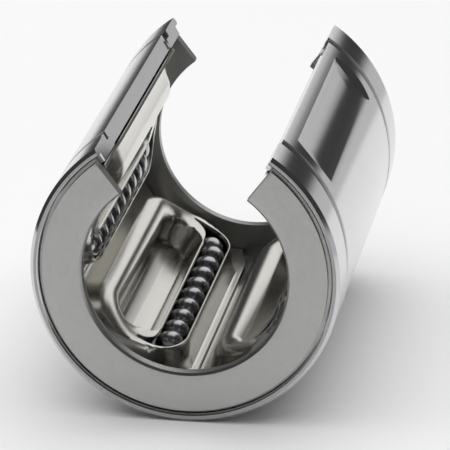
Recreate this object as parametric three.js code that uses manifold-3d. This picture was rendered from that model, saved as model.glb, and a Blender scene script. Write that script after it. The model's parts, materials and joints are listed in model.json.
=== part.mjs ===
// Open-type linear ball bushing for a one-inch shaft.
// The bushing axis lies along Y, the opening points up, and the underside rests on z = 0.
// Angles are measured round the axis from +Z towards +X. All lengths are millimetres.

import * as THREE from 'three';
import { mergeVertices } from 'three/addons/utils/BufferGeometryUtils.js';
import Module from 'manifold-3d';

// ---- Driving dimensions ----
const INCH = 25.4;
const SHAFT_D = 1.0 * INCH;
const OUTER_D = 1.5625 * INCH;
const LENGTH = 2.25 * INCH;
const BALL_D = (5 / 32) * INCH;
const CIRCUITS = 4;
const CIRCUIT_PITCH = 360 / (CIRCUITS + 1);
const LOAD_BALLS = 9;
const RETURN_BALLS = 15;
const BALL_PITCH = BALL_D + 0.021;
// The whole load row stands this far along the track from the middle, and the slack is after its near end.
const ROW_SHIFT = -1.1;
const ROW_SLACK = 2.6;

const SEGMENTS = 60;
const GROOVE_WIDTH = 0.068 * INCH;
const GROOVE_SPACING = 1.755 * INCH;
const GROOVE_BOTTOM_R = 0.745 * INCH;
const EDGE_CHAMFER = 0.45;
const TRACK_CLEARANCE = 0.05;
const RELIEF_R = 17.65;
const COUNTERBORE_R = 18.8;
const COUNTERBORE_DEPTH = 1.65;
const MOUTH_CHAMFER = 0.2;

const RING_FACE_R = 18.3;
const RING_SEAT_R = 18.72;
const RING_BORE_R = 13.2;
const RING_FACE_T = 0.7;
const RING_T = 1.6;
const RING_CHAMFER = 0.3;
const RING_CUT_ANGLE = 37.4;

const WALL_ANGLE = 34.6;
const WALL_TILT = 30;
const WALL_RELIEF = 0.35;
const WALL_RISE = 8;
const WALL_DROP = 7;

const STRIP_HALF = 1.6;
const STRIP_ROOT_R = RELIEF_R + 0.4;
const STRIP_OVERRUN = 0.6;

const SCOOP_ANGLE = 51.3;
const SCOOP_HALF = 3.72;
const SCOOP_BEND = 13.6;
const SCOOP_STEP = 0.06;
const SCOOP_RAMP_START = 13.8;
const SCOOP_RAMP_END = 5.6;
const SCOOP_RAMP_BEND = 12.5;

const SHEET_T = 0.45;
const CREST_R = 13.1;
const FLANGE_R = 16.85;
const CREST_HALF = 2.0;
const SHOULDER = 1.35;
const LANE_ANGLE = 20.5;
const DEVELOP_R = 15.2;
const SLOT_HALF = 1.95;
const SLOT_END_ANGLE = 83;
const TURN_END = 12.5;
const CLIMB_SHARE = 0.36;
const RETAINER_GAP = 0.3;
const SEAM_HALF_ANGLE = 0.6;
const NOTCH = { width: 1.9, length: 4.4 };
const CORNER_CUT = { width: 1.1, length: 5.6 };
const RETURN_GAP = 0.06;
const NECK_R = 0.45;

// ---- Values worked out from them ----
const OUTER_R = OUTER_D / 2;
const HALF = LENGTH / 2;
const BALL_R = BALL_D / 2;
const FACET = 360 / SEGMENTS;
const AXIS_Z = OUTER_R * Math.cos(THREE.MathUtils.degToRad(FACET / 2));
const LOAD_R = SHAFT_D / 2 + BALL_R;
const TRACK_R = LOAD_R + BALL_R + TRACK_CLEARANCE;
const RETURN_R = CREST_R + SHEET_T + RETURN_GAP + BALL_R;
const LANE = THREE.MathUtils.degToRad(LANE_ANGLE) * DEVELOP_R;
const TURN_Y = HALF - TURN_END;
const GROOVE_OUT = GROOVE_SPACING / 2;
const GROOVE_IN = GROOVE_OUT - GROOVE_WIDTH;

const wasm = await Module();
wasm.setup();

// ---- Materials ----
const metal = (color, roughness) => new THREE.MeshStandardMaterial({ color, roughness, metalness: 1 });
const groundSteel = metal(0xc9cacb, 0.28);
const faceSteel = metal(0xa3a3a0, 0.5);
const sheetSteel = metal(0xb4b2aa, 0.22);
const ballSteel = metal(0x6c6d70, 0.12);

// ---- Helpers ----
const rad = THREE.MathUtils.degToRad;

// A point at radius r and angle theta (radians) round the bushing axis.
function polar(r, theta, y) {
  return [r * Math.sin(theta), y, AXIS_Z + r * Math.cos(theta)];
}

// Turns a closed three.js geometry into a manifold solid.
function solid(geometry) {
  const bare = geometry.clone();
  bare.deleteAttribute('normal');
  bare.deleteAttribute('uv');
  const merged = mergeVertices(bare, 1e-4);
  return new wasm.Manifold(new wasm.Mesh({
    numProp: 3,
    vertProperties: new Float32Array(merged.attributes.position.array),
    triVerts: new Uint32Array(merged.index.array),
  }));
}

// Turns a manifold solid back into a geometry; move changes each point, where given.
function geometryOf(body, move) {
  const mesh = body.getMesh();
  const points = Array.from(mesh.vertProperties);
  if (move) {
    for (let i = 0; i < points.length; i += 3) {
      const moved = move(points[i], points[i + 1], points[i + 2]);
      points.splice(i, 3, ...moved);
    }
  }
  const geometry = new THREE.BufferGeometry();
  geometry.setAttribute('position', new THREE.Float32BufferAttribute(points, 3));
  geometry.setIndex(Array.from(mesh.triVerts));
  geometry.computeVertexNormals();
  return geometry;
}

// A full ring turned round Y from a closed list of [radius, y] points, lifted to the bushing axis.
function turned(profile) {
  const points = profile.map(([r, y]) => new THREE.Vector2(r, y));
  if (THREE.ShapeUtils.isClockWise(points)) points.reverse();
  points.push(points[0].clone());
  const lathe = new THREE.LatheGeometry(points, SEGMENTS, rad(FACET / 2), Math.PI * 2);
  lathe.translate(0, 0, AXIS_Z);
  return solid(lathe);
}

// A prism along Y between y0 and y1, from [x, z] points that go round anticlockwise seen from -Y.
function prismY(outline, y0, y1) {
  const shape = new THREE.Shape(outline.map(([x, z]) => new THREE.Vector2(x, z)));
  const geometry = new THREE.ExtrudeGeometry(shape, { depth: y1 - y0, bevelEnabled: false });
  geometry.rotateX(Math.PI / 2);
  geometry.translate(0, y1, 0);
  return solid(geometry);
}

// A closed block between two grids of points: low(i, j) and high(i, j).
function gridBlock(columns, rows, low, high) {
  const points = [];
  const faces = [];
  for (const layer of [low, high]) {
    for (let j = 0; j <= rows; j += 1) {
      for (let i = 0; i <= columns; i += 1) points.push(...layer(i, j));
    }
  }
  const top = (columns + 1) * (rows + 1);
  const at = (i, j) => j * (columns + 1) + i;
  const quad = (a, b, c, d) => faces.push(a, b, c, a, c, d);
  for (let j = 0; j < rows; j += 1) {
    for (let i = 0; i < columns; i += 1) {
      quad(at(i, j), at(i, j + 1), at(i + 1, j + 1), at(i + 1, j));
      quad(top + at(i, j), top + at(i + 1, j), top + at(i + 1, j + 1), top + at(i, j + 1));
    }
  }
  for (let i = 0; i < columns; i += 1) {
    quad(at(i, 0), at(i + 1, 0), top + at(i + 1, 0), top + at(i, 0));
    quad(at(i + 1, rows), at(i, rows), top + at(i, rows), top + at(i + 1, rows));
  }
  for (let j = 0; j < rows; j += 1) {
    quad(at(0, j + 1), at(0, j), top + at(0, j), top + at(0, j + 1));
    quad(at(columns, j), at(columns, j + 1), top + at(columns, j + 1), top + at(columns, j));
  }
  const geometry = new THREE.BufferGeometry();
  geometry.setAttribute('position', new THREE.Float32BufferAttribute(points, 3));
  geometry.setIndex(faces);
  return solid(geometry);
}

const group = new THREE.Group();

function addPart(name, geometry, material) {
  const mesh = new THREE.Mesh(geometry, material);
  mesh.name = name;
  group.add(mesh);
  return mesh;
}

// ---- Outer sleeve ----
// Half of the wall outline on +Y, from the bore outwards; the other half mirrors it.
function sleeveProfile() {
  const half = [
    [RELIEF_R, HALF - COUNTERBORE_DEPTH],
    [COUNTERBORE_R, HALF - COUNTERBORE_DEPTH],
    [COUNTERBORE_R, HALF - MOUTH_CHAMFER],
    [COUNTERBORE_R + MOUTH_CHAMFER, HALF],
    [OUTER_R - EDGE_CHAMFER, HALF],
    [OUTER_R, HALF - EDGE_CHAMFER],
    [OUTER_R, GROOVE_OUT],
    [GROOVE_BOTTOM_R, GROOVE_OUT],
    [GROOVE_BOTTOM_R, GROOVE_IN],
    [OUTER_R, GROOVE_IN],
  ];
  const mirrored = half.map(([r, y]) => [r, -y]).reverse();
  return [...half, ...mirrored];
}

// The wedge cut away above the shaft: straight walls tilted from the vertical, moved out by shift.
function openingWedge(shift, y0, y1) {
  const edgeX = OUTER_R * Math.sin(rad(WALL_ANGLE)) + shift;
  const edgeZ = AXIS_Z + OUTER_R * Math.cos(rad(WALL_ANGLE));
  const slope = Math.tan(rad(WALL_TILT));
  const lowX = edgeX - WALL_DROP * slope;
  const highX = edgeX + WALL_RISE * slope;
  const outline = [
    [-lowX, edgeZ - WALL_DROP],
    [lowX, edgeZ - WALL_DROP],
    [highX, edgeZ + WALL_RISE],
    [-highX, edgeZ + WALL_RISE],
  ];
  return prismY(outline, y0, y1);
}

// The hardened strip that the loaded balls of one circuit roll on.
function loadStrip(theta) {
  const across = new THREE.Vector2(Math.cos(theta), -Math.sin(theta));
  const out = new THREE.Vector2(Math.sin(theta), Math.cos(theta));
  const corner = (s, r) => [across.x * s + out.x * r, AXIS_Z + across.y * s + out.y * r];
  const strip = [
    corner(-STRIP_HALF, TRACK_R),
    corner(STRIP_HALF, TRACK_R),
    corner(STRIP_HALF, STRIP_ROOT_R),
    corner(-STRIP_HALF, STRIP_ROOT_R),
  ];
  return prismY(strip, -TURN_Y - STRIP_OVERRUN, TURN_Y + STRIP_OVERRUN);
}

// Points along a hollow of radius bend, from a to b, whose lowest point is at height floor over zero.
function hollowArc(a, b, floor, bend, steps) {
  const points = [];
  for (let n = 0; n <= steps; n += 1) {
    const t = a + (b - a) * n / steps;
    points.push([t, floor + bend - Math.sqrt(bend * bend - t * t)]);
  }
  return points;
}

// The relief milled in the outside, over the load track beside the opening: a hollow along the
// sleeve, which a wheel's round rim ends with a ramp at each end.
function scoopCutter() {
  const edgeDepth = SCOOP_BEND - Math.sqrt(SCOOP_BEND ** 2 - SCOOP_HALF ** 2);
  const floorR = Math.sqrt(OUTER_R ** 2 - SCOOP_HALF ** 2) - SCOOP_STEP - edgeDepth;
  const top = OUTER_R + 2;
  const bottom = hollowArc(-SCOOP_HALF, SCOOP_HALF, floorR, SCOOP_BEND, 8);
  const section = [...bottom, [SCOOP_HALF, top], [-SCOOP_HALF, top]];
  const along = prismY(section, -HALF, HALF);
  const ramp = hollowArc(0, SCOOP_RAMP_END, floorR, SCOOP_RAMP_BEND, 6);
  const far = ramp.map(([p, r]) => [SCOOP_RAMP_START + p, r]);
  const near = ramp.map(([p, r]) => [-SCOOP_RAMP_START - p, r]).reverse();
  const reach = SCOOP_RAMP_START + SCOOP_RAMP_END;
  const side = [...near, ...far, [reach, top], [-reach, top]];
  const across = prismY(side, -OUTER_R, OUTER_R).rotate([0, 0, 90]);
  return along.intersect(across).rotate([0, SCOOP_ANGLE, 0]).translate([0, 0, AXIS_Z]);
}

function outerSleeve() {
  let body = turned(sleeveProfile());
  for (let k = 0; k < CIRCUITS; k += 1) body = body.add(loadStrip(loadAngle(k)));
  body = body.subtract(openingWedge(0, -HALF - 1, HALF + 1));
  body = body.subtract(openingWedge(WALL_RELIEF, -GROOVE_IN, GROOVE_IN));
  body = body.subtract(scoopCutter());
  return geometryOf(body);
}

// ---- End rings ----
// Profile of one ring with its outside face at y = 0 and its body towards -Y.
function endRing(side) {
  const outline = [
    [RING_BORE_R, -RING_T],
    [RING_SEAT_R, -RING_T],
    [RING_SEAT_R, -RING_FACE_T],
    [RING_FACE_R, -RING_FACE_T],
    [RING_FACE_R, 0],
    [RING_BORE_R + RING_CHAMFER, 0],
    [RING_BORE_R, -RING_CHAMFER],
  ];
  const placed = outline.map(([r, y]) => [r, side * (HALF + y)]);
  let body = turned(placed);
  const reach = OUTER_R + 8;
  const spread = reach * Math.tan(rad(RING_CUT_ANGLE));
  const wedge = [[0, AXIS_Z], [spread, AXIS_Z + reach], [-spread, AXIS_Z + reach]];
  body = body.subtract(prismY(wedge, -HALF - 1, HALF + 1));
  return geometryOf(body);
}

// ---- Ball circuits ----
// Circuit k is centred on a fifth part of the circle; the opening takes the place of the fifth one.
const circuitAngle = (k) => rad(CIRCUIT_PITCH * (k + 1));
const loadAngle = (k) => circuitAngle(k) - rad(LANE_ANGLE);

// Distance in the developed surface from the middle of the oblong ball track.
function trackDistance(u, y) {
  const past = Math.max(0, Math.abs(y) - TURN_Y);
  return Math.abs(Math.hypot(u, past) - LANE);
}

// Inside radius of the retainer sheet: a raised channel over the balls, a flange and an island beside it.
function sheetRadius(u, y) {
  const t = Math.min(1, Math.max(0, (trackDistance(u, y) - CREST_HALF) / SHOULDER));
  return CREST_R + (FLANGE_R - CREST_R) * t * t * (3 - 2 * t);
}

// The slot that lets the loaded balls through: the load side of the track, running into both turns.
function slotOutline() {
  const shape = new THREE.Shape();
  const endAngle = rad(SLOT_END_ANGLE);
  shape.absarc(0, TURN_Y, LANE + SLOT_HALF, Math.PI, Math.PI - endAngle, true);
  shape.absarc(0, TURN_Y, LANE - SLOT_HALF, Math.PI - endAngle, Math.PI, false);
  shape.absarc(0, -TURN_Y, LANE - SLOT_HALF, Math.PI, Math.PI + endAngle, false);
  shape.absarc(0, -TURN_Y, LANE + SLOT_HALF, Math.PI + endAngle, Math.PI, true);
  return shape;
}

// A cutter through the flat sheet, from a shape drawn in (u, y).
function sheetCutter(shape) {
  const settings = { depth: SHEET_T + 2, bevelEnabled: false, curveSegments: 6 };
  const geometry = new THREE.ExtrudeGeometry(shape, settings);
  geometry.translate(0, 0, -1);
  return solid(geometry);
}

// Even steps between the stops given, more of them where the sheet bends.
function gridStops(stops) {
  const values = [stops[0][0]];
  for (let n = 1; n < stops.length; n += 1) {
    const [from, to, cells] = [stops[n - 1][0], stops[n][0], stops[n][1]];
    for (let c = 1; c <= cells; c += 1) values.push(from + (to - from) * c / cells);
  }
  return values;
}

// The same stops on the negative side, then the positive ones.
function mirroredStops(positive) {
  const negative = positive.slice(1).reverse().map((value) => -value);
  return [...negative, ...positive];
}

// One retainer segment: a flat sheet with its slot and corners cut, then formed round the ball track.
function retainer(k) {
  const halfU = rad(CIRCUIT_PITCH / 2 - SEAM_HALF_ANGLE) * DEVELOP_R;
  const halfY = HALF - RING_T - RETAINER_GAP;
  const foot = CREST_HALF + SHOULDER;
  const across = mirroredStops(gridStops([
    [0], [LANE - foot, 2], [LANE - CREST_HALF, 2], [LANE, 1],
    [LANE + CREST_HALF, 1], [LANE + foot, 2], [halfU, 1],
  ]));
  const along = mirroredStops(gridStops([
    [0], [TURN_Y - 0.8, 1], [TURN_Y + LANE - foot, 2], [TURN_Y + LANE - CREST_HALF, 2],
    [TURN_Y + LANE + CREST_HALF, 3], [TURN_Y + LANE + foot, 2], [halfY, 1],
  ]));
  const flat = (w) => (i, j) => [across[i], along[j], w];
  let body = gridBlock(across.length - 1, along.length - 1, flat(0), flat(SHEET_T));
  body = body.subtract(sheetCutter(slotOutline()));
  const notch = new THREE.Shape([
    new THREE.Vector2(halfU - NOTCH.width, halfY - NOTCH.length),
    new THREE.Vector2(halfU + 1, halfY - NOTCH.length),
    new THREE.Vector2(halfU + 1, halfY + 1),
    new THREE.Vector2(halfU - NOTCH.width, halfY + 1),
  ]);
  const corner = new THREE.Shape([
    new THREE.Vector2(-halfU, halfY - CORNER_CUT.length),
    new THREE.Vector2(-halfU + CORNER_CUT.width, halfY),
    new THREE.Vector2(-halfU + CORNER_CUT.width, halfY + 1),
    new THREE.Vector2(-halfU - 1, halfY + 1),
    new THREE.Vector2(-halfU - 1, halfY - CORNER_CUT.length),
  ]);
  body = body.subtract(sheetCutter(notch)).subtract(sheetCutter(corner));
  const form = (u, y, w) => polar(sheetRadius(u, y) + w, circuitAngle(k) + u / DEVELOP_R, y);
  return geometryOf(body, form);
}

// A point on the ball path, measured from the near end of the load row towards and round the near turn.
function pathPoint(k, distance) {
  const straight = 2 * TURN_Y;
  const turn = Math.PI * LANE;
  const start = TURN_Y - (LOAD_BALLS - 1) / 2 * BALL_PITCH + ROW_SHIFT;
  const s = distance - start;
  let u = -LANE;
  let y = -(TURN_Y + s);
  let share = 0;
  if (s > 0 && s < turn) {
    const a = s / LANE;
    u = -LANE * Math.cos(a);
    y = -TURN_Y - LANE * Math.sin(a);
    share = Math.min(1, s / turn / CLIMB_SHARE);
  } else if (s >= turn && s < turn + straight) {
    u = LANE;
    y = -TURN_Y + (s - turn);
    share = 1;
  } else if (s >= turn + straight) {
    const a = (s - turn - straight) / LANE;
    u = LANE * Math.cos(a);
    y = TURN_Y + LANE * Math.sin(a);
    share = Math.min(1, (1 - (s - turn - straight) / turn) / CLIMB_SHARE);
  }
  const ease = share * share * (3 - 2 * share);
  const r = LOAD_R + (RETURN_R - LOAD_R) * ease;
  return new THREE.Vector3(...polar(r, circuitAngle(k) + u / DEVELOP_R, y));
}

// The balls on their way back, linked by small necks where each touches the next.
function returnBalls(k) {
  const bead = new THREE.SphereGeometry(BALL_R - 0.01, 6, 4);
  let body = null;
  let before = null;
  for (let n = 1; n <= RETURN_BALLS; n += 1) {
    const centre = pathPoint(k, n * BALL_PITCH + ROW_SLACK);
    const ball = solid(bead.clone().translate(centre.x, centre.y, centre.z));
    body = body ? body.add(ball) : ball;
    if (before) {
      const neck = new THREE.CylinderGeometry(NECK_R, NECK_R, BALL_PITCH * 0.6, 4);
      const along = centre.clone().sub(before).normalize();
      neck.applyQuaternion(new THREE.Quaternion().setFromUnitVectors(new THREE.Vector3(0, 1, 0), along));
      const middle = centre.clone().add(before).multiplyScalar(0.5);
      body = body.add(solid(neck.translate(middle.x, middle.y, middle.z)));
    }
    before = centre;
  }
  return geometryOf(body);
}

// ---- Assembly ----
addPart('outer_sleeve', outerSleeve(), groundSteel);
addPart('end_ring_front', endRing(-1), faceSteel);
addPart('end_ring_rear', endRing(1), faceSteel);

const ballGeometry = new THREE.IcosahedronGeometry(BALL_R, 1);
for (let k = 0; k < CIRCUITS; k += 1) {
  const circuit = k + 1;
  addPart(`retainer_${circuit}`, retainer(k), sheetSteel);
  addPart(`return_balls_${circuit}`, returnBalls(k), ballSteel);
  for (let n = 0; n < LOAD_BALLS; n += 1) {
    const ball = addPart(`load_ball_${circuit}_${n + 1}`, ballGeometry, ballSteel);
    ball.position.copy(pathPoint(k, -n * BALL_PITCH));
    ball.rotation.y = loadAngle(k);
  }
}

export default group;
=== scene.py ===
import json
import math

import bpy
from mathutils import Matrix, Vector


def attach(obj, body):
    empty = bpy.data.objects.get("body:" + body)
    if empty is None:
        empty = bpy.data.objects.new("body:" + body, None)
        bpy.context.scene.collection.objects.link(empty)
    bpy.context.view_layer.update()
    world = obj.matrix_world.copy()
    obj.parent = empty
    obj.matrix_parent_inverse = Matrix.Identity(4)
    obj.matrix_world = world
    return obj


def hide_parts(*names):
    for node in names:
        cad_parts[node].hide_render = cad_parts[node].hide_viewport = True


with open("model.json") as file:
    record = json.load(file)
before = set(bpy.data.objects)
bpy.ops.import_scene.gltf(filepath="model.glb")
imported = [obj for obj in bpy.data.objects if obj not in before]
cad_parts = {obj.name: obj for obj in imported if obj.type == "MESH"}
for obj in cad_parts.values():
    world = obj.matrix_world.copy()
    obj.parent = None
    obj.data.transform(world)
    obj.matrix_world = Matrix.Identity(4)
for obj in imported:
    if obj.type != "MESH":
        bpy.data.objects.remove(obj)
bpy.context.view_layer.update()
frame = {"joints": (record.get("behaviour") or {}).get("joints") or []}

# ---- Camera ----
# A long portrait lens looks down at the front of the bushing from a little to its right,
# so that the opening faces up and the balls show inside the bore.
mm = 0.001
camera_data = bpy.data.cameras.new("studio_camera")
camera_data.lens = 317.2
camera_data.sensor_width = 36.0
camera_data.clip_start = 0.01
camera = bpy.data.objects.new("studio_camera", camera_data)
bpy.context.scene.collection.objects.link(camera)
camera_azimuth = math.radians(9.47)
camera_elevation = math.radians(20.12)
camera_roll = math.radians(0.34)
camera_distance = 499.8
aim_point = Vector((4.785, -25.51, 25.91)) * mm
back = Vector((
    math.sin(camera_azimuth) * math.cos(camera_elevation),
    -math.cos(camera_azimuth) * math.cos(camera_elevation),
    math.sin(camera_elevation),
))
camera.location = aim_point + back * camera_distance * mm
camera.rotation_mode = "QUATERNION"
camera.rotation_quaternion = back.to_track_quat("Z", "Y")
camera.rotation_quaternion @= Matrix.Rotation(-camera_roll, 4, "Z").to_quaternion()
bpy.context.scene.camera = camera

# ---- Studio ----
# A plain pale floor with a white room behind it and one big soft lamp overhead. The steel reflects
# a dark room with lit walls, which the camera doesn't see, and that gives the sleeve its bands.
bpy.context.scene.view_settings.view_transform = "Standard"


def clear_selection():
    if bpy.context.object and bpy.context.object.mode != "OBJECT":
        bpy.ops.object.mode_set(mode="OBJECT")
    bpy.ops.object.select_all(action="DESELECT")


def flat_material(name, colour, roughness):
    material = bpy.data.materials.new(name)
    material.use_nodes = True
    shader = material.node_tree.nodes["Principled BSDF"]
    shader.inputs["Base Color"].default_value = (*colour, 1)
    shader.inputs["Roughness"].default_value = roughness
    return material


floor_radius = 200 * mm
floor_gap = 0.05 * mm
clear_selection()
bpy.ops.mesh.primitive_circle_add(
    vertices=96, radius=floor_radius, fill_type="NGON", location=(0, 0, -floor_gap)
)
floor = bpy.context.object
floor.name = "studio_floor"
floor.data.materials.append(flat_material("pale_floor", (0.9, 0.9, 0.9), 0.9))

world = bpy.data.worlds.new("studio_room")
bpy.context.scene.world = world
world.use_nodes = True
room = world.node_tree.nodes
room_links = world.node_tree.links
direction = room.new("ShaderNodeTexCoord")
split = room.new("ShaderNodeSeparateXYZ")
room_links.new(direction.outputs["Generated"], split.inputs["Vector"])
turned = room.new("ShaderNodeMath")
turned.operation = "ARCTAN2"
room_links.new(split.outputs["X"], turned.inputs[0])
room_links.new(split.outputs["Z"], turned.inputs[1])
to_right = split.outputs["X"]
to_back = split.outputs["Y"]
upward = split.outputs["Z"]
round_axis = turned.outputs["Value"]


def between(place, low, high):
    """Eases from 0 to 1 as that part of the direction goes from low to high."""
    step = room.new("ShaderNodeMapRange")
    step.interpolation_type = "SMOOTHSTEP"
    step.inputs["From Min"].default_value = low
    step.inputs["From Max"].default_value = high
    room_links.new(place, step.inputs["Value"])
    return step.outputs["Result"]


def product(*factors):
    """Where every one of the masks overlaps."""
    result = factors[0]
    for factor in factors[1:]:
        times = room.new("ShaderNodeMath")
        times.operation = "MULTIPLY"
        room_links.new(result, times.inputs[0])
        room_links.new(factor, times.inputs[1])
        result = times.outputs["Value"]
    return result


def inverse(factor):
    """The rest of the room, outside a mask."""
    rest = room.new("ShaderNodeMath")
    rest.operation = "SUBTRACT"
    rest.inputs[0].default_value = 1.0
    room_links.new(factor, rest.inputs[1])
    return rest.outputs["Value"]


# The walls change tone with the angle round the bushing's axis, from straight up to the right.
back_wall = product(
    between(to_back, 0.2, 0.6),
    between(round_axis, math.radians(-28), math.radians(-5)),
    inverse(between(round_axis, math.radians(46), math.radians(60))),
)
right_wall = product(
    between(round_axis, math.radians(79), math.radians(90)),
    between(to_right, 0.05, 0.2),
)
left_floor = product(
    inverse(between(round_axis, math.radians(-116), math.radians(-107))),
    inverse(between(upward, -0.10, -0.05)),
)
far_floor = inverse(between(upward, -0.19, -0.14))
front_wall = product(inverse(between(to_back, -0.75, -0.5)), between(upward, 0.0, 0.1))
# Each patch of the room: how bright it is, and the mask that it fills, over the dark walls.
patches = [
    (0.92, back_wall),
    (0.62, right_wall),
    (0.16, front_wall),
    (0.85, left_floor),
    (0.72, far_floor),
]
dark_walls = 0.05
room_level = None
for level, mask in patches:
    patch = room.new("ShaderNodeMix")
    patch.data_type = "FLOAT"
    patch.inputs["A"].default_value = dark_walls
    patch.inputs["B"].default_value = level
    room_links.new(mask, patch.inputs["Factor"])
    if room_level:
        room_links.new(room_level, patch.inputs["A"])
    room_level = patch.outputs["Result"]
seen = room.new("ShaderNodeLightPath")
backdrop = room.new("ShaderNodeMix")
backdrop.data_type = "FLOAT"
backdrop.inputs["B"].default_value = 1.0
room_links.new(seen.outputs["Is Camera Ray"], backdrop.inputs["Factor"])
room_links.new(room_level, backdrop.inputs["A"])
room_links.new(backdrop.outputs["Result"], room["Background"].inputs["Color"])


def soft_lamp(name, place, target, size, power):
    """A rectangular lamp that faces the target; the size is in metres and the power in watts."""
    lamp_data = bpy.data.lights.new(name, "AREA")
    lamp_data.shape = "RECTANGLE"
    lamp_data.size = size[0]
    lamp_data.size_y = size[1]
    lamp_data.energy = power
    lamp = bpy.data.objects.new(name, lamp_data)
    bpy.context.scene.collection.objects.link(lamp)
    lamp.location = place
    lamp.rotation_mode = "QUATERNION"
    lamp.rotation_quaternion = (Vector(place) - Vector(target)).to_track_quat("Z", "Y")
    return lamp


softbox_place = (-0.10, 0.05, 0.75)
bushing_middle = (0, 0, 0.02)
softbox = soft_lamp("overhead_softbox", softbox_place, bushing_middle, (1.5, 1.5), 11.5)
softbox.visible_glossy = False

# ---- Outer sleeve ----
# The hardened bearing-steel sleeve: turned from bar, then ground all over, with a snap-ring groove
# near each end, counterbored ends, an opening cut along the top, raised strips in the bore for the
# loaded balls to roll on, and a scooped relief milled outside over one strip. The CAD sleeve lies
# on one of its flats, which sets the height of the axis.
cad_flats = 60
outer_r = 39.6875 / 2 * mm
half_length = 57.15 / 2 * mm
axis_height = outer_r * math.cos(math.pi / cad_flats)
relief_r = 17.65 * mm
counterbore_r = 18.8 * mm
ring_depth = 1.65 * mm
groove_bottom_r = 18.923 * mm
groove_outside = 44.577 / 2 * mm
groove_inside = groove_outside - 1.727 * mm
track_r = 16.72 * mm
circuit_pitch = math.radians(72)
lane_angle = math.radians(20.5)
circuit_numbers = range(1, 5)
turning_steps = 240
end_chamfer = 0.45 * mm
mouth_chamfer = 0.2 * mm
past_end = 1 * mm


def polar(radius, angle, y):
    """A point at a radius and an angle round the bushing axis, from +Z towards +X."""
    return Vector((radius * math.sin(angle), y, axis_height + radius * math.cos(angle)))


def outline_object(name, points):
    """A closed wire loop through the points, made from a circle and left in edit mode."""
    clear_selection()
    bpy.ops.mesh.primitive_circle_add(vertices=len(points), radius=mm)
    piece = bpy.context.object
    piece.name = name
    for vertex, point in zip(piece.data.vertices, points):
        vertex.co = point
    bpy.ops.object.mode_set(mode="EDIT")
    bpy.ops.mesh.select_all(action="SELECT")
    return piece


def stepped(points, spacing):
    """The closed outline with extra points, so that no side is longer than the spacing."""
    result = []
    for here, there in zip(points, points[1:] + points[:1]):
        cells = max(1, math.ceil((Vector(there) - Vector(here)).length / spacing - 1e-6))
        result += [Vector(here).lerp(Vector(there), n / cells) for n in range(cells)]
    return result


def spun_ring(name, profile, steps, spacing):
    """A full ring from a closed profile of (radius, y), spun round the bushing axis."""
    points = [Vector((r, y, axis_height)) for r, y in stepped(profile, spacing)]
    piece = outline_object(name, points)
    bpy.ops.mesh.spin(
        steps=steps, angle=math.tau, axis=(0, 1, 0), center=(0, 0, axis_height), dupli=False
    )
    bpy.ops.mesh.select_all(action="SELECT")
    bpy.ops.mesh.remove_doubles(threshold=0.001 * mm)
    bpy.ops.mesh.normals_make_consistent(inside=False)
    bpy.ops.object.mode_set(mode="OBJECT")
    return piece


def prism_along_y(name, corners, y0, y1):
    """A solid with the (x, z) corners as its section, between two places along the axis."""
    piece = outline_object(name, [Vector((x, y0, z)) for x, z in corners])
    bpy.ops.mesh.edge_face_add()
    bpy.ops.mesh.extrude_region_move(TRANSFORM_OT_translate={"value": (0, y1 - y0, 0)})
    bpy.ops.mesh.select_all(action="SELECT")
    bpy.ops.mesh.normals_make_consistent(inside=False)
    bpy.ops.object.mode_set(mode="OBJECT")
    return piece


def apply_modifier(piece, kind, **settings):
    clear_selection()
    piece.select_set(True)
    bpy.context.view_layer.objects.active = piece
    modifier = piece.modifiers.new(kind.lower(), kind)
    for key, value in settings.items():
        setattr(modifier, key, value)
    bpy.ops.object.modifier_apply(modifier=modifier.name)


def combine(piece, tool, operation):
    """Joins the tool to the piece, or cuts it away, and removes the tool."""
    apply_modifier(piece, "BOOLEAN", object=tool, operation=operation, solver="EXACT")
    bpy.data.objects.remove(tool)


def break_edges(piece, width, sharper_than):
    """Rounds every edge sharper than the angle, and keeps the flats beside it looking flat."""
    apply_modifier(
        piece, "BEVEL", width=width, segments=3, limit_method="ANGLE", use_clamp_overlap=True,
        angle_limit=math.radians(sharper_than),
    )
    clear_selection()
    piece.select_set(True)
    bpy.context.view_layer.objects.active = piece
    bpy.ops.object.shade_smooth_by_angle(angle=math.radians(35))
    apply_modifier(piece, "WEIGHTED_NORMAL", keep_sharp=True, weight=80)


half_profile = [
    (relief_r, half_length - ring_depth),
    (counterbore_r, half_length - ring_depth),
    (counterbore_r, half_length - mouth_chamfer),
    (counterbore_r + mouth_chamfer, half_length),
    (outer_r - end_chamfer, half_length),
    (outer_r, half_length - end_chamfer),
    (outer_r, groove_outside),
    (groove_bottom_r, groove_outside),
    (groove_bottom_r, groove_inside),
    (outer_r, groove_inside),
]
sleeve_profile = half_profile + [(r, -y) for r, y in reversed(half_profile)]
sleeve = spun_ring("sleeve", sleeve_profile, turning_steps, 2.5 * mm)

strip_half_width = 1.6 * mm
strip_half_length = 16.7 * mm
strip_root_r = relief_r + 0.4 * mm
for circuit in circuit_numbers:
    angle = circuit_pitch * circuit - lane_angle
    across = Vector((math.cos(angle), 0, -math.sin(angle)))
    strip_corners = []
    for side, radius in ((-1, track_r), (1, track_r), (1, strip_root_r), (-1, strip_root_r)):
        corner = polar(radius, angle, 0) + across * side * strip_half_width
        strip_corners.append((corner.x, corner.z))
    strip = prism_along_y("load_strip", strip_corners, -strip_half_length, strip_half_length)
    combine(sleeve, strip, "UNION")

wall_angle = math.radians(34.6)
wall_slope = math.tan(math.radians(30))
wedge_rise = 8 * mm
wedge_drop = 7 * mm
middle_relief = 0.35 * mm


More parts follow.
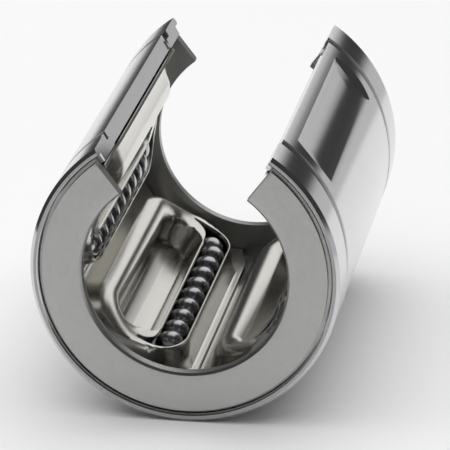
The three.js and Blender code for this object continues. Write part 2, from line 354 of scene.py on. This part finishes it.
def opening_wedge(shift, y0, y1):
    """The block that cuts the opening, moved out by the shift on both sides."""
    edge_x = outer_r * math.sin(wall_angle) + shift
    edge_z = axis_height + outer_r * math.cos(wall_angle)
    low_x = edge_x - wedge_drop * wall_slope
    high_x = edge_x + wedge_rise * wall_slope
    low_z, high_z = edge_z - wedge_drop, edge_z + wedge_rise
    corners = [(-low_x, low_z), (low_x, low_z), (high_x, high_z), (-high_x, high_z)]
    return prism_along_y("opening_wedge", corners, y0, y1)


through_y = half_length + past_end
combine(sleeve, opening_wedge(0, -through_y, through_y), "DIFFERENCE")
combine(sleeve, opening_wedge(middle_relief, -groove_inside, groove_inside), "DIFFERENCE")

scoop_angle = math.radians(51.3)
scoop_half_width = 3.72 * mm
scoop_bend = 13.6 * mm
scoop_step = 0.06 * mm
ramp_start = 13.8 * mm
ramp_length = 5.6 * mm
ramp_bend = 12.5 * mm


def hollow_arc(a, b, floor_r, bend, steps):
    """Points from a to b along a hollow whose lowest point, at zero, is at the floor radius."""
    places = [a + (b - a) * n / steps for n in range(steps + 1)]
    return [(t, axis_height + floor_r + bend - math.sqrt(bend ** 2 - t ** 2)) for t in places]


edge_rise = scoop_bend - math.sqrt(scoop_bend ** 2 - scoop_half_width ** 2)
scoop_floor_r = math.sqrt(outer_r ** 2 - scoop_half_width ** 2) - scoop_step - edge_rise
scoop_top = axis_height + outer_r + 2 * mm
hollow = hollow_arc(-scoop_half_width, scoop_half_width, scoop_floor_r, scoop_bend, 32)
hollow += [(scoop_half_width, scoop_top), (-scoop_half_width, scoop_top)]
scoop_cutter = prism_along_y("scoop_cutter", hollow, -half_length, half_length)
ramp = hollow_arc(0, ramp_length, scoop_floor_r, ramp_bend, 24)
side_view = [(-ramp_start - t, z) for t, z in reversed(ramp)]
side_view += [(ramp_start + t, z) for t, z in ramp]
side_view += [(ramp_start + ramp_length, scoop_top), (-ramp_start - ramp_length, scoop_top)]
scoop_ends = prism_along_y("scoop_ends", side_view, -outer_r, outer_r)
scoop_ends.data.transform(Matrix.Rotation(math.radians(90), 4, "Z"))
combine(scoop_cutter, scoop_ends, "INTERSECT")
lift_to_axis = Matrix.Translation((0, 0, axis_height))
turn_to_scoop = Matrix.Rotation(scoop_angle, 4, "Y")
scoop_cutter.data.transform(lift_to_axis @ turn_to_scoop @ lift_to_axis.inverted())
combine(sleeve, scoop_cutter, "DIFFERENCE")

break_edges(sleeve, 0.15 * mm, 20)


def steel(name, colour, roughness, grain, grain_depth):
    """Bare steel: fine marks stretched by the grain scale vary the gloss, and clouds the tone."""
    material = bpy.data.materials.new(name)
    material.use_nodes = True
    nodes = material.node_tree.nodes
    links = material.node_tree.links
    shader = nodes["Principled BSDF"]
    shader.inputs["Metallic"].default_value = 1.0
    place = nodes.new("ShaderNodeTexCoord")
    stretch = nodes.new("ShaderNodeMapping")
    stretch.inputs["Scale"].default_value = grain
    marks = nodes.new("ShaderNodeTexNoise")
    marks.inputs["Scale"].default_value = 1.0
    marks.inputs["Detail"].default_value = 6.0
    clouds = nodes.new("ShaderNodeTexNoise")
    clouds.inputs["Scale"].default_value = 180.0
    clouds.inputs["Detail"].default_value = 4.0
    links.new(place.outputs["Object"], stretch.inputs["Vector"])
    links.new(stretch.outputs["Vector"], marks.inputs["Vector"])
    links.new(place.outputs["Object"], clouds.inputs["Vector"])

    spread = 0.03
    tone = nodes.new("ShaderNodeMix")
    tone.data_type = "RGBA"
    tone.inputs["A"].default_value = (*[c * (1 - spread) for c in colour], 1)
    tone.inputs["B"].default_value = (*[c * (1 + spread) for c in colour], 1)
    links.new(clouds.outputs["Fac"], tone.inputs["Factor"])
    links.new(tone.outputs["Result"], shader.inputs["Base Color"])

    gloss = nodes.new("ShaderNodeMapRange")
    gloss.inputs["From Min"].default_value = 0.3
    gloss.inputs["From Max"].default_value = 0.7
    gloss.inputs["To Min"].default_value = roughness * 0.85
    gloss.inputs["To Max"].default_value = roughness * 1.15
    links.new(marks.outputs["Fac"], gloss.inputs["Value"])
    links.new(gloss.outputs["Result"], shader.inputs["Roughness"])

    relief = nodes.new("ShaderNodeBump")
    relief.inputs["Strength"].default_value = 0.25
    relief.inputs["Distance"].default_value = grain_depth
    links.new(marks.outputs["Fac"], relief.inputs["Height"])
    links.new(relief.outputs["Normal"], shader.inputs["Normal"])
    return material


ground_steel = steel("ground_steel", (0.62, 0.62, 0.63), 0.13, (300, 9000, 300), 0.004 * mm)
fine_grain = (2600, 2600, 2600)
turned_steel = steel("turned_end_face_steel", (0.40, 0.40, 0.40), 0.38, fine_grain, 0.003 * mm)
sleeve.data.materials.clear()
sleeve.data.materials.append(ground_steel)
sleeve.data.materials.append(turned_steel)
for face in sleeve.data.polygons:
    at_end = abs(face.center.y) > half_length - 0.02 * mm
    face.material_index = 1 if at_end and abs(face.normal.y) > 0.99 else 0
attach(sleeve, "housing")
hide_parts("outer_sleeve")

# ---- End rings ----
# Two flat steel rings that close the counterbored ends and hold the retainers in. They are
# stamped, face-ground to a fine matt finish and pressed in; a narrow step round each face leaves
# a dark line.
ring_bore_r = 13.2 * mm
ring_seat_r = 18.72 * mm
ring_face_r = 18.3 * mm
ring_face_thickness = 0.7 * mm
ring_thickness = 1.6 * mm
ring_cut_angle = math.radians(37.4)
ring_chamfer = 0.3 * mm
ring_steel = steel("face_ground_steel", (0.47, 0.47, 0.46), 0.42, fine_grain, 0.003 * mm)

for name, node, side in (("front_ring", "end_ring_front", -1), ("rear_ring", "end_ring_rear", 1)):
    ring_profile = [
        (ring_bore_r, -ring_thickness),
        (ring_seat_r, -ring_thickness),
        (ring_seat_r, -ring_face_thickness),
        (ring_face_r, -ring_face_thickness),
        (ring_face_r, 0),
        (ring_bore_r + ring_chamfer, 0),
        (ring_bore_r, -ring_chamfer),
    ]
    placed = [(r, side * (half_length + y)) for r, y in ring_profile]
    ring = spun_ring(name, placed, turning_steps, 1.2 * mm)
    reach = outer_r + wedge_rise
    spread_x = reach * math.tan(ring_cut_angle)
    wedge_top = axis_height + reach
    wedge_corners = [(0, axis_height), (spread_x, wedge_top), (-spread_x, wedge_top)]
    wedge = prism_along_y("ring_wedge", wedge_corners, -through_y, through_y)
    combine(ring, wedge, "DIFFERENCE")
    break_edges(ring, 0.08 * mm, 20)
    ring.data.materials.clear()
    ring.data.materials.append(ring_steel)
    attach(ring, "housing")
    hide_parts(node)

# ---- Retainers ----
# One segment for each circuit, blanked from thin bright steel sheet, slotted and press-formed: an
# oblong channel covers the balls, a sunk island lies inside it and a flange round it. The end
# rings hold the segments in the sleeve side by side.
sheet_thickness = 0.45 * mm
crest_r = 13.1 * mm
crest_half = 2.25 * mm
shoulder = 1.05 * mm
crown_r = 2.45 * mm
crown_half = 2.2 * mm
flange_r = 16.85 * mm
flange_blend = 0.5 * mm
flat_until = math.radians(70)
round_from = math.radians(135)
develop_r = 15.2 * mm
lane = lane_angle * develop_r
slot_half = 2.1 * mm
slot_end_angle = math.radians(86)
horn_inner = 2.4 * mm
horn_outer = 1.0 * mm
inner_taper = math.radians(12)
outer_taper = math.radians(38)
turn_from_end = 12.5 * mm
turn_y = half_length - turn_from_end
segment_gap = math.radians(0.6)
segment_half_u = (circuit_pitch / 2 - segment_gap) * develop_r
end_gap = 0.3 * mm
segment_half_y = half_length - ring_thickness - end_gap
channel_half = 4.3 * mm
notch = (1.9 * mm, 4.4 * mm)
corner_cut = (1.1 * mm, 5.6 * mm)
rim = 0.2 * mm
flat_rows = 2
island_rows = 16
slot_rows = 6
bank_rows = 13


def eased(value, low, high):
    share = min(1.0, max(0.0, (value - low) / (high - low)))
    return share * share * (3 - 2 * share)


def formed_radius(offset, angle):
    """Inside radius of the sheet: flat-topped round the slot, round-topped on the return side."""
    aside = abs(offset - lane)
    flat_top = crest_r + (flange_r - crest_r) * eased(aside, crest_half, crest_half + shoulder)
    if aside < crown_half:
        top = crest_r + crown_r - math.sqrt(crown_r ** 2 - aside ** 2)
    else:
        drop = math.sqrt(crown_r ** 2 - crown_half ** 2)
        top = crest_r + crown_r - drop + crown_half / drop * (aside - crown_half)
    round_top = 0.5 * (top + flange_r - math.hypot(top - flange_r, flange_blend))
    return flat_top + (round_top - flat_top) * eased(angle, flat_until, round_from)


def slot_bounds(angle):
    """Inner and outer offsets of the slot at an angle round the turn; each end narrows to a horn."""
    towards_tip = slot_end_angle - abs(angle - slot_end_angle)
    inner = lane - slot_half + horn_inner * eased(towards_tip, inner_taper, slot_end_angle)
    outer = lane + slot_half - horn_outer * eased(towards_tip, outer_taper, slot_end_angle)
    return inner, outer


def sheet_stations():
    """Rays from the spine to the blank's edge, all round: spine y, then the ray in u and y."""
    end_y = segment_half_y - turn_y
    far_corners = [
        (-segment_half_u, 0),
        (-segment_half_u, end_y - corner_cut[1]),
        (corner_cut[0] - segment_half_u, end_y),
        (segment_half_u - notch[0], end_y),
        (segment_half_u - notch[0], end_y - notch[1]),
        (segment_half_u, end_y - notch[1]),
        (segment_half_u, 0),
    ]
    near_corners = [
        (segment_half_u, 0),
        (segment_half_u, -end_y),
        (-segment_half_u, -end_y),
        (-segment_half_u, 0),
    ]
    straight_steps = 30
    stations = []
    for side, spine_y, corners in ((-1, turn_y, far_corners), (1, -turn_y, near_corners)):
        for n in range(straight_steps):
            y = -spine_y + 2 * spine_y * n / straight_steps
            stations.append((y, side * segment_half_u, 0))
        for start, end in zip(corners, corners[1:]):
            steps = max(3, math.ceil(math.dist(start, end) / (0.5 * mm)))
            for n in range(steps):
                share = n / steps
                u = start[0] + (end[0] - start[0]) * share
                y = start[1] + (end[1] - start[1]) * share
                stations.append((spine_y, u, y))
    stations.append(stations[0])
    return stations


def row_offset(row, inner, outer, edge):
    """Distance of a row of the sheet from the spine: island, slot, channel bank, then the edge."""
    island_edge = lane - channel_half
    if row < flat_rows:
        return island_edge * row / flat_rows
    if row <= island_rows:
        return island_edge + (inner - island_edge) * (row - flat_rows) / (island_rows - flat_rows)
    if row <= island_rows + slot_rows:
        return inner + (outer - inner) * (row - island_rows) / slot_rows
    knee = min(edge - rim, lane + channel_half)
    past = row - island_rows - slot_rows
    if past < bank_rows:
        return outer + (knee - outer) * past / (bank_rows - 1)
    return edge


rolled_grain = (3500, 120, 3500)
retainer_steel = steel("formed_sheet_steel", (0.70, 0.69, 0.65), 0.22, rolled_grain, 0.002 * mm)
stations = sheet_stations()
sheet_columns = len(stations) - 1
sheet_rows = island_rows + slot_rows + bank_rows

for circuit in circuit_numbers:
    clear_selection()
    bpy.ops.mesh.primitive_grid_add(
        x_subdivisions=sheet_columns, y_subdivisions=sheet_rows, size=1
    )
    retainer = bpy.context.object
    retainer.name = f"retainer_segment_{circuit}"
    bpy.ops.object.mode_set(mode="EDIT")
    bpy.ops.mesh.select_mode(type="FACE")
    bpy.ops.mesh.select_all(action="DESELECT")
    bpy.ops.object.mode_set(mode="OBJECT")
    for face in retainer.data.polygons:
        column = int((face.center.x + 0.5) * sheet_columns)
        row = int((face.center.y + 0.5) * sheet_rows)
        _, u, y = stations[column]
        _, next_u, next_y = stations[column + 1]
        angle = max(math.atan2(abs(y), -u), math.atan2(abs(next_y), -next_u))
        face.select = angle < slot_end_angle and island_rows <= row < island_rows + slot_rows
    bpy.ops.object.mode_set(mode="EDIT")
    bpy.ops.mesh.delete(type="FACE")
    bpy.ops.object.mode_set(mode="OBJECT")

    centre_angle = circuit_pitch * circuit
    for vertex in retainer.data.vertices:
        column = round((vertex.co.x + 0.5) * sheet_columns)
        row = round((vertex.co.y + 0.5) * sheet_rows)
        spine_y, ray_u, ray_y = stations[column]
        edge = math.hypot(ray_u, ray_y)
        angle = math.atan2(abs(ray_y), -ray_u)
        inner, outer = slot_bounds(angle)
        offset = row_offset(row, inner, outer, edge)
        u = ray_u / edge * offset
        y = spine_y + ray_y / edge * offset
        vertex.co = polar(formed_radius(offset, angle), centre_angle + u / develop_r, y)
    bpy.ops.object.mode_set(mode="EDIT")
    bpy.ops.mesh.select_all(action="SELECT")
    bpy.ops.mesh.remove_doubles(threshold=0.01 * mm)
    bpy.ops.mesh.select_all(action="SELECT")
    bpy.ops.mesh.normals_make_consistent(inside=False)
    bpy.ops.object.mode_set(mode="OBJECT")
    outward = polar(1, centre_angle, 0) - polar(0, centre_angle, 0)
    lean = sum(face.normal.dot(outward) * face.area for face in retainer.data.polygons)
    if lean > 0:
        retainer.data.flip_normals()
    apply_modifier(
        retainer, "SOLIDIFY", thickness=sheet_thickness, offset=-1, use_even_offset=False
    )
    break_edges(retainer, 0.05 * mm, 50)
    retainer.data.materials.clear()
    retainer.data.materials.append(retainer_steel)
    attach(retainer, "housing")
    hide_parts(f"retainer_{circuit}")

# ---- Balls ----
# Hardened chrome-steel balls, ground and lapped bright. The loaded ones turn in place
# in each slot; the others are packed behind the sheet, round both turns and along the return side.
ball_r = 3.96875 / 2 * mm
ball_gap = 0.021 * mm
ball_pitch = 2 * ball_r + ball_gap
shaft_r = 12.7 * mm
load_r = shaft_r + ball_r
return_gap = 0.06 * mm
return_r = crest_r + sheet_thickness + return_gap + ball_r
load_count = 9
return_count = 15
row_shift = -1.1 * mm
row_slack = 2.6 * mm
climb_share = 0.36
ball_steel = steel("lapped_ball_steel", (0.55, 0.55, 0.57), 0.2, (900, 900, 900), 0.0005 * mm)


def ball_object(name, centre):
    """One ball, from a finely divided cube pushed out to the sphere."""
    clear_selection()
    bpy.ops.mesh.primitive_cube_add(size=2 * ball_r)
    piece = bpy.context.object
    piece.name = name
    bpy.ops.object.mode_set(mode="EDIT")
    bpy.ops.mesh.select_all(action="SELECT")
    bpy.ops.mesh.subdivide(number_cuts=11)
    bpy.ops.object.mode_set(mode="OBJECT")
    for vertex in piece.data.vertices:
        vertex.co = vertex.co.normalized() * ball_r
    piece.data.transform(Matrix.Translation(centre))
    bpy.ops.object.shade_smooth()
    piece.data.materials.append(ball_steel)
    return piece


def path_point(circuit, distance):
    """A place on the ball track, from the near end of the load row and round the near turn."""
    turn = math.pi * lane
    straight = 2 * turn_y
    s = distance - turn_y + (load_count - 1) / 2 * ball_pitch - row_shift
    if s <= 0:
        u, y, share = -lane, -(turn_y + s), 0.0
    elif s < turn:
        u, y = -lane * math.cos(s / lane), -turn_y - lane * math.sin(s / lane)
        share = s / turn / climb_share
    elif s < turn + straight:
        u, y, share = lane, -turn_y + s - turn, 1.0
    else:
        left = s - turn - straight
        u, y = lane * math.cos(left / lane), turn_y + lane * math.sin(left / lane)
        share = (1 - left / turn) / climb_share
    share = min(1.0, share)
    radius = load_r + (return_r - load_r) * share * share * (3 - 2 * share)
    return polar(radius, circuit_pitch * circuit + u / develop_r, y)


for joint in frame["joints"]:
    ball = ball_object(joint["child"].replace("load_ball", "ball"), Vector(joint["pos_m"]))
    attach(ball, joint["child"])
    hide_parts(joint["child"])

for circuit in circuit_numbers:
    returning = []
    for n in range(1, return_count + 1):
        centre = path_point(circuit, n * ball_pitch + row_slack)
        returning.append(ball_object(f"returning_ball_{circuit}_{n}", centre))
    clear_selection()
    for ball in returning:
        ball.select_set(True)
    bpy.context.view_layer.objects.active = returning[0]
    bpy.ops.object.join()
    returning[0].name = f"returning_balls_{circuit}"
    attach(returning[0], "housing")
    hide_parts(f"return_balls_{circuit}")
